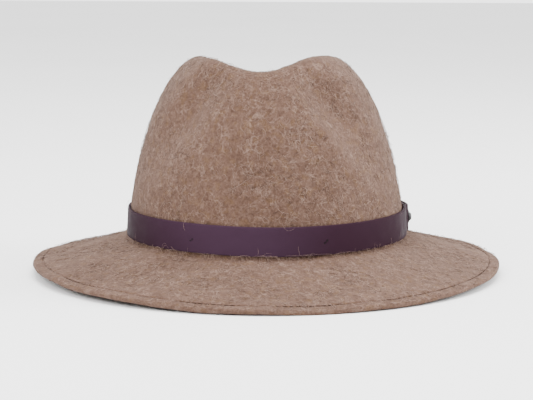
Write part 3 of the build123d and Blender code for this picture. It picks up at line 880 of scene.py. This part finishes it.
def lining_side(material):
    """The lining's side panel: it lies flat behind the sweatband and falls in soft folds above it."""
    turn = INNER_TURNS[None]
    climb = np.linspace(LINING_FOOT_CLIMB, LINING_SEAM_CLIMB - SEAM_ALLOWANCE, 44)[:, None]
    height = outer_face(turn, climb)[..., 2] - head_height(turn)
    free = eased((height - SWEATBAND_HEIGHT) / 14)
    folds = 0.65 * ripples(turn, height, 41, 26.0) + 0.35 * ripples(turn, height, 42, 9.0)
    depth = LINING_DEPTH + 0.1 + 0.1 * (1 - free) * folds + free * (0.9 + 0.75 * folds)
    front, back = felt_point(turn, climb, depth), felt_point(turn, climb, depth + CLOTH)
    return thin_sheet("lining_side", front, back, material, ["lining_wall"])


def lining_crown(material):
    """The lining's top panel, gathered into the seam and smooth in the middle."""
    turn = INNER_TURNS[None]
    foot = LINING_SEAM_CLIMB + SEAM_ALLOWANCE
    climb = even_climbs(60)
    climb = climb[(climb > foot) & (climb < TOP_HOLE)]
    climb = np.concatenate([[foot], climb, [TOP_HOLE]])[:, None]
    share = (climb - LINING_SEAM_CLIMB) / (1 - LINING_SEAM_CLIMB)
    fine = 0.5 * ripples(turn, 60 * share, 43, 7.0) * np.exp(-share * 5)
    wide = 0.5 * ripples(turn, 60 * share, 44, 24.0) * np.exp(-share * 2)
    gathers = fine + wide
    depth = LINING_DEPTH + 1.0 + 0.8 * gathers * (share < 0.97)
    front, back = felt_point(turn, climb, depth), felt_point(turn, climb, depth + CLOTH)
    return thin_sheet("lining_crown", front, back, material, ["lining_tip"], pole=True)


def round_cord(name, path, radius, material, replaces, wrap=0.0, sides=12):
    """A closed cord round the hat; wrap gives the spiral ridges of a wound tape."""
    count = len(path)
    along = np.roll(path, -1, 0) - np.roll(path, 1, 0)
    along /= np.linalg.norm(along, axis=-1, keepdims=True)
    up = np.array([0, 0, 1.0]) - along * along[:, 2:]
    up /= np.linalg.norm(up, axis=-1, keepdims=True)
    side = np.cross(along, up)
    angle = 2 * math.pi * np.arange(sides) / sides
    phase = np.arange(count)[:, None] / 6.0 + angle[None] / (2 * math.pi)
    reach = radius + wrap * np.abs((phase % 1.0) * 2 - 1)
    points = path[:, None] + reach[..., None] * (
        side[:, None] * np.cos(angle)[None, :, None] + up[:, None] * np.sin(angle)[None, :, None]
    )
    piece = new_piece(name, points, [grid_faces(count, sides, closed_rows=True)], material, replaces)
    face_outwards(piece)
    return piece


def piping(material):
    turn = np.arange(720) * 0.5
    path = felt_point(turn, LINING_SEAM_CLIMB, LINING_DEPTH + PIPING_RADIUS + 0.5)
    ridge = 0.12
    return round_cord(
        "lining_seam_piping", path, PIPING_RADIUS - ridge, material, ["lining_piping"], ridge,
    )


def wound_tape(material):
    turn = np.arange(1200) * 0.3
    x, y = head_oval(turn, HEAD_HALF_WIDTH - REED_DEPTH, HEAD_HALF_LENGTH - REED_DEPTH)
    path = np.stack([x, y, head_height(turn)], -1)
    return round_cord("reed_binding", path, REED_RADIUS + 0.1, material, ["reed_tape"], 0.25)


CREASE_HEIGHT = 30.6


def sweat_leather(material):
    """The leather sweatband: rounded edges, a creased line below its top edge, a little slack."""
    turn = INNER_TURNS[None]
    upper = [29.6, 30.2, CREASE_HEIGHT, 31.0, 31.6, 32.6, 33.5, 33.9, SWEATBAND_HEIGHT]
    height = np.concatenate([[0, 0.15], np.linspace(0.6, 28.5, 20), upper])
    climb = np.array([climb_at(SWEATBAND_FOOT + up) for up in height])[:, None]
    height = height[:, None]
    folds = ripples(turn, height, 45, 60.0) + 0.4 * ripples(turn, height, 46, 17.0)
    slack = 0.35 * folds * (height / SWEATBAND_HEIGHT) ** 2
    crease = 0.22 * np.exp(-((height - CREASE_HEIGHT) / 0.45) ** 2)
    edge = 0.35 * (np.exp(-height / 0.3) + np.exp(-(SWEATBAND_HEIGHT - height) / 0.3))
    lean = band_lean(SWEATBAND_FOOT + height)
    slack = np.maximum(slack, -lean)
    front = felt_point(turn, climb, SWEATBAND_DEPTH + lean + slack + edge)
    back = felt_point(turn, climb, SWEATBAND_DEPTH + SWEATBAND + lean + slack - edge - crease)
    return thin_sheet("sweatband_leather_strip", front, back, material, ["sweatband"])


def patch(name, middle, half_width, low, high, material, replaces):
    """A small cloth patch on the sweatband, its edges lifting a little."""
    across = np.linspace(-1, 1, 41)[None]
    up = np.linspace(-1, 1, 41)[:, None]
    turn = middle + math.degrees(half_width / HEAD_HALF_LENGTH) * across
    height = (low + high) / 2 + (high - low) / 2 * up
    climb = np.degrees(np.arcsin((height / CROWN_HEIGHT) ** (TOP_POWER / 2))) / 90
    spots = np.stack([half_width * across + 0 * up, (high - low) / 2 * up + 0 * across, 0 * up * across], -1)
    lift = 0.12 * waves(spots, 9.0, 47) + 0.25 * np.abs(across * up) ** 4
    seam = 0.12 * np.exp(-(((np.maximum(np.abs(across), np.abs(up)) - 0.88) / 0.03) ** 2))
    depth = SWEATBAND_DEPTH + SWEATBAND + 0.45 + band_lean(height) + lift - seam
    front, back = felt_point(turn, climb, depth), felt_point(turn, climb, depth + CLOTH)
    return thin_sheet(name, front, back, material, replaces, closed=False)


def ribbon(path, half_width, up, thick=0.35):
    """Points and faces of a flat ribbon along a path, as wide as half_width says at each point."""
    along = np.gradient(path, axis=0)
    along /= np.linalg.norm(along, axis=-1, keepdims=True)
    face = np.cross(along, up)
    face /= np.linalg.norm(face, axis=-1, keepdims=True)
    corners = ((-1, -1), (1, -1), (1, 1), (-1, 1))
    points = np.stack([path + a * half_width[:, None] * up + b * thick / 2 * face for a, b in corners], 1)
    count = len(path)
    ends = np.array([[3, 2, 1, 0], np.arange(4) + (count - 1) * 4])
    return points.reshape(-1, 3), np.concatenate([grid_faces(count, 4), ends])


KNOT_ROWS = 9
KNOT_SIDES = 16


def inner_bow(material):
    """The little ribbon bow at the back of the sweatband: two loops, two tails and a knot."""
    centre = felt_point(BACK_TURN, climb_at(BOW_HEIGHT), SWEATBAND_DEPTH + SWEATBAND + 2.4)
    up = np.array([0.0, 0.0, 1.0])
    points, faces, first = [], [], 0
    bend = np.linspace(0.03, 1.97, 40) * math.pi
    for side in (-1, 1):
        loop = np.stack([side * (5.4 - 5.2 * np.cos(bend)), -1.35 * np.sin(bend), 0.5 * np.sin(bend / 2)], -1)
        wide = 1.0 + 1.4 * np.sin(bend / 2) ** 0.7
        fall = np.linspace(0, 1, 20)
        wander = -0.5 - 0.5 * np.sin(3 * fall)
        tail = np.stack([side * (0.4 + 6.0 * fall), wander, -0.3 - 5.0 * fall**1.3], -1)
        tilt = np.array([side * 0.6, 0.0, 0.8])
        for path, half, way in ((loop, wide, up), (tail, 0.9 + 0.9 * fall, tilt)):
            p, f = ribbon(path + centre, half, way)
            points.append(p)
            faces.append(f + first)
            first += len(p)
    angle = np.linspace(0, 2 * math.pi, KNOT_SIDES, endpoint=False)
    for row in np.linspace(-1, 1, KNOT_ROWS):
        size = (1 - row**4) ** 0.25 if abs(row) < 1 else 0.3
        x, y = 1.5 * size * np.cos(angle), -0.3 + 1.35 * size * np.sin(angle)
        points.append(centre + np.stack([x, y, 1.9 * row + 0 * angle], -1))
    faces.append(grid_faces(KNOT_ROWS, KNOT_SIDES) + first)
    corner = np.arange(KNOT_SIDES)
    lids = np.array([corner[::-1], corner + (KNOT_ROWS - 1) * KNOT_SIDES]) + first
    faces = [np.concatenate(faces), lids]
    piece = new_piece("ribbon_bow", np.concatenate(points), faces, material, ["sweatband_bow"])
    face_outwards(piece)
    return piece


# ---------------------------------------------------------------- scene

def carried(node, material):
    """A CAD node that stays, in a better material."""
    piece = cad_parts[node]
    piece.data.materials.clear()
    piece.data.materials.append(material)


felt_wool = felt_material()
felt_body(felt_wool)
pale_wool = fibre_material("wool_pale", shade(FELT_PALE, 1.1))
tan_wool = fibre_material("wool_tan", shade(FELT_HIGH, 1.05))
dark_wool = fibre_material("wool_dark", FELT_DARK)
gold_wool = fibre_material("wool_gold", shade(FELT_GOLD, 1.3))
for name, count, seed, wool, radius, length, loft in (
    ("felt_fibres_pale_1", 3600, 1, pale_wool, 0.075, 6.5, 0.22),
    ("felt_fibres_pale_2", 3600, 2, pale_wool, 0.055, 5.0, 0.20),
    ("felt_fibres_tan_1", 3600, 3, tan_wool, 0.065, 4.5, 0.30),
    ("felt_fibres_tan_2", 3600, 4, tan_wool, 0.055, 3.0, 0.42),
    ("felt_fibres_dark", 3600, 5, dark_wool, 0.065, 4.5, 0.12),
    ("felt_fibres_gold", 1200, 6, gold_wool, 0.065, 4.5, 0.15),
):
    fibres(name, count, seed, wool, radius, length, loft)
stray_fibres("felt_fibres_stray", 300, 7, pale_wool)
# The band's leather has a painted highlight about 17 mm to the wearer's right of the middle, at front and
# back.
strap(leather_material(
    "band_leather", (0.0125, 0.0040, 0.0062), (0.0370, 0.0190, 0.0330), 0.5,
    gloss=0.5, bend=1.06, patch_scale=14.0, highlight_at=-0.017,
))

thread = thread_material("edge_thread_brown", (0.030, 0.016, 0.011))
dark_thread = thread_material("tack_thread_dark", (0.006, 0.003, 0.004))
lining_satin = satin_material("lining_satin_brown", (0.13, 0.08, 0.065))
tape_cloth = cloth_material("seam_tape_brown", (0.17, 0.11, 0.085))
label_cloth = cloth_material("label_plain", (0.62, 0.58, 0.5))
steel = metal_material("spring_steel", (0.5, 0.5, 0.52), 0.3, 1.0)
black_metal = metal_material("stud_black", (0.004, 0.0035, 0.0045), 0.42, 0.1)
reed = metal_material("reed_plain", (0.6, 0.58, 0.54), 0.5, 0.0)
inner_leather = leather_material("sweatband_tan", (0.24, 0.14, 0.085), (0.30, 0.18, 0.11), 0.5)
for node, material in {
    "brim_edge_stitching": thread, "brim_wire": steel, "wire_joiner": steel, "band_stud": black_metal,
    "sweatband_reed": reed, "sweatband_stitching": dark_thread,
}.items():
    carried(node, material)

strap_tacks(dark_thread)
sweat_leather(inner_leather)
side_panel = lining_side(lining_satin)
top_panel = lining_crown(lining_satin)
seam_cord = piping(lining_satin)
wound_tape(tape_cloth)
inner_bow(tape_cloth)
back_tape = patch(
    "back_seam_tape", BACK_TURN, BACK_TAPE_HALF_WIDTH, BACK_TAPE_FOOT, BACK_TAPE_TOP,
    tape_cloth, ["sweatband_back_tape"],
)
label = patch(
    "blank_label", LABEL_TURN, LABEL_HALF_WIDTH, LABEL_FOOT, LABEL_TOP,
    label_cloth, ["size_label"],
)


FLOOR_REACH = 6.0
SURROUND_STRENGTH = 3.2
LIGHT_AIM = Vector((0, 0, 0.06))


def studio():
    """A pale floor, a white surround and soft lights."""
    mesh = bpy.data.meshes.new("studio_floor")
    corners = [(FLOOR_REACH * x, FLOOR_REACH * y, 0) for x, y in ((-1, -1), (1, -1), (1, 1), (-1, 1))]
    mesh.from_pydata(corners, [], [(0, 1, 2, 3)])
    floor = bpy.data.objects.new("studio_floor", mesh)
    bpy.context.collection.objects.link(floor)
    n = Nodes("floor_white")
    tint = n.ramp(n.noise(2.0, 2.0, 0.5), [(0.3, 0.86), (0.7, 0.88)])
    mesh.materials.append(n.shine(tint, 0.9, None, Specular_IOR_Level=0.1))
    world = bpy.data.worlds.new("studio_surround")
    bpy.context.scene.world = world
    world.use_nodes = True
    tree = world.node_tree
    place = tree.nodes.new("ShaderNodeTexCoord")
    split = tree.nodes.new("ShaderNodeSeparateXYZ")
    ramp = tree.nodes.new("ShaderNodeValToRGB")
    share = tree.nodes.new("ShaderNodeMapRange")
    share.inputs["From Min"].default_value = -1.0
    share.inputs["From Max"].default_value = 1.0
    tree.links.new(place.outputs["Generated"], split.inputs[0])
    tree.links.new(split.outputs["Y"], share.inputs["Value"])
    tree.links.new(share.outputs[0], ramp.inputs[0])
    stops = ramp.color_ramp.elements
    ends = [stops[0], stops.new(0.25), stops.new(0.5), stops[-1]]
    for end, (position, level) in zip(ends, [(0.0, 0.30), (0.25, 0.42), (0.5, 0.80), (1.0, 1.0)]):
        end.position = position
        end.color = (level, level, level, 1)
    tree.links.new(ramp.outputs[0], tree.nodes["Background"].inputs["Color"])
    tree.nodes["Background"].inputs["Strength"].default_value = SURROUND_STRENGTH
    for name, place, size, watts in (
        ("side_softbox", (1.6, 0.1, 0.75), (0.9, 0.8), 42.0),
        ("key_softbox", (-0.9, -1.4, 1.0), (0.9, 0.8), 36.0),
        ("top_softbox", (0.1, -0.2, 1.9), (1.5, 1.2), 60.0),
    ):
        light = bpy.data.lights.new(name, "AREA")
        light.shape = "RECTANGLE"
        light.size, light.size_y = size
        light.energy = watts
        lamp = bpy.data.objects.new(name, light)
        lamp.location = place
        lamp.rotation_euler = (LIGHT_AIM - Vector(place)).to_track_quat("-Z", "Y").to_euler()
        bpy.context.collection.objects.link(lamp)


CAMERA_LIFT = 6.80
CAMERA_SIDE = 1.98
CAMERA_ROLL = 0.23
CAMERA_DISTANCE = 1.2639
CAMERA_PIVOT = Vector((0, 0, 0.060))
CAMERA_AIM = Vector((0, 0, 0.0451))
CAMERA_LENS = 131.44


def camera():
    """The photograph's view: a long lens a little above the brim, a little towards the wearer's left."""
    data = bpy.data.cameras.new("front_camera")
    eye = bpy.data.objects.new("front_camera", data)
    bpy.context.collection.objects.link(eye)
    lift, side = math.radians(CAMERA_LIFT), math.radians(CAMERA_SIDE)
    away = Vector((math.sin(side) * math.cos(lift), -math.cos(side) * math.cos(lift), math.sin(lift)))
    eye.location = CAMERA_PIVOT + away * CAMERA_DISTANCE
    turned = (CAMERA_AIM - eye.location).to_track_quat("-Z", "Y").to_matrix().to_4x4()
    roll = Matrix.Rotation(math.radians(CAMERA_ROLL), 4, "Z")
    eye.matrix_world = Matrix.Translation(eye.location) @ turned @ roll
    data.lens = CAMERA_LENS
    data.sensor_width = 36.0
    data.clip_start = 0.05
    bpy.context.scene.camera = eye


studio()
camera()
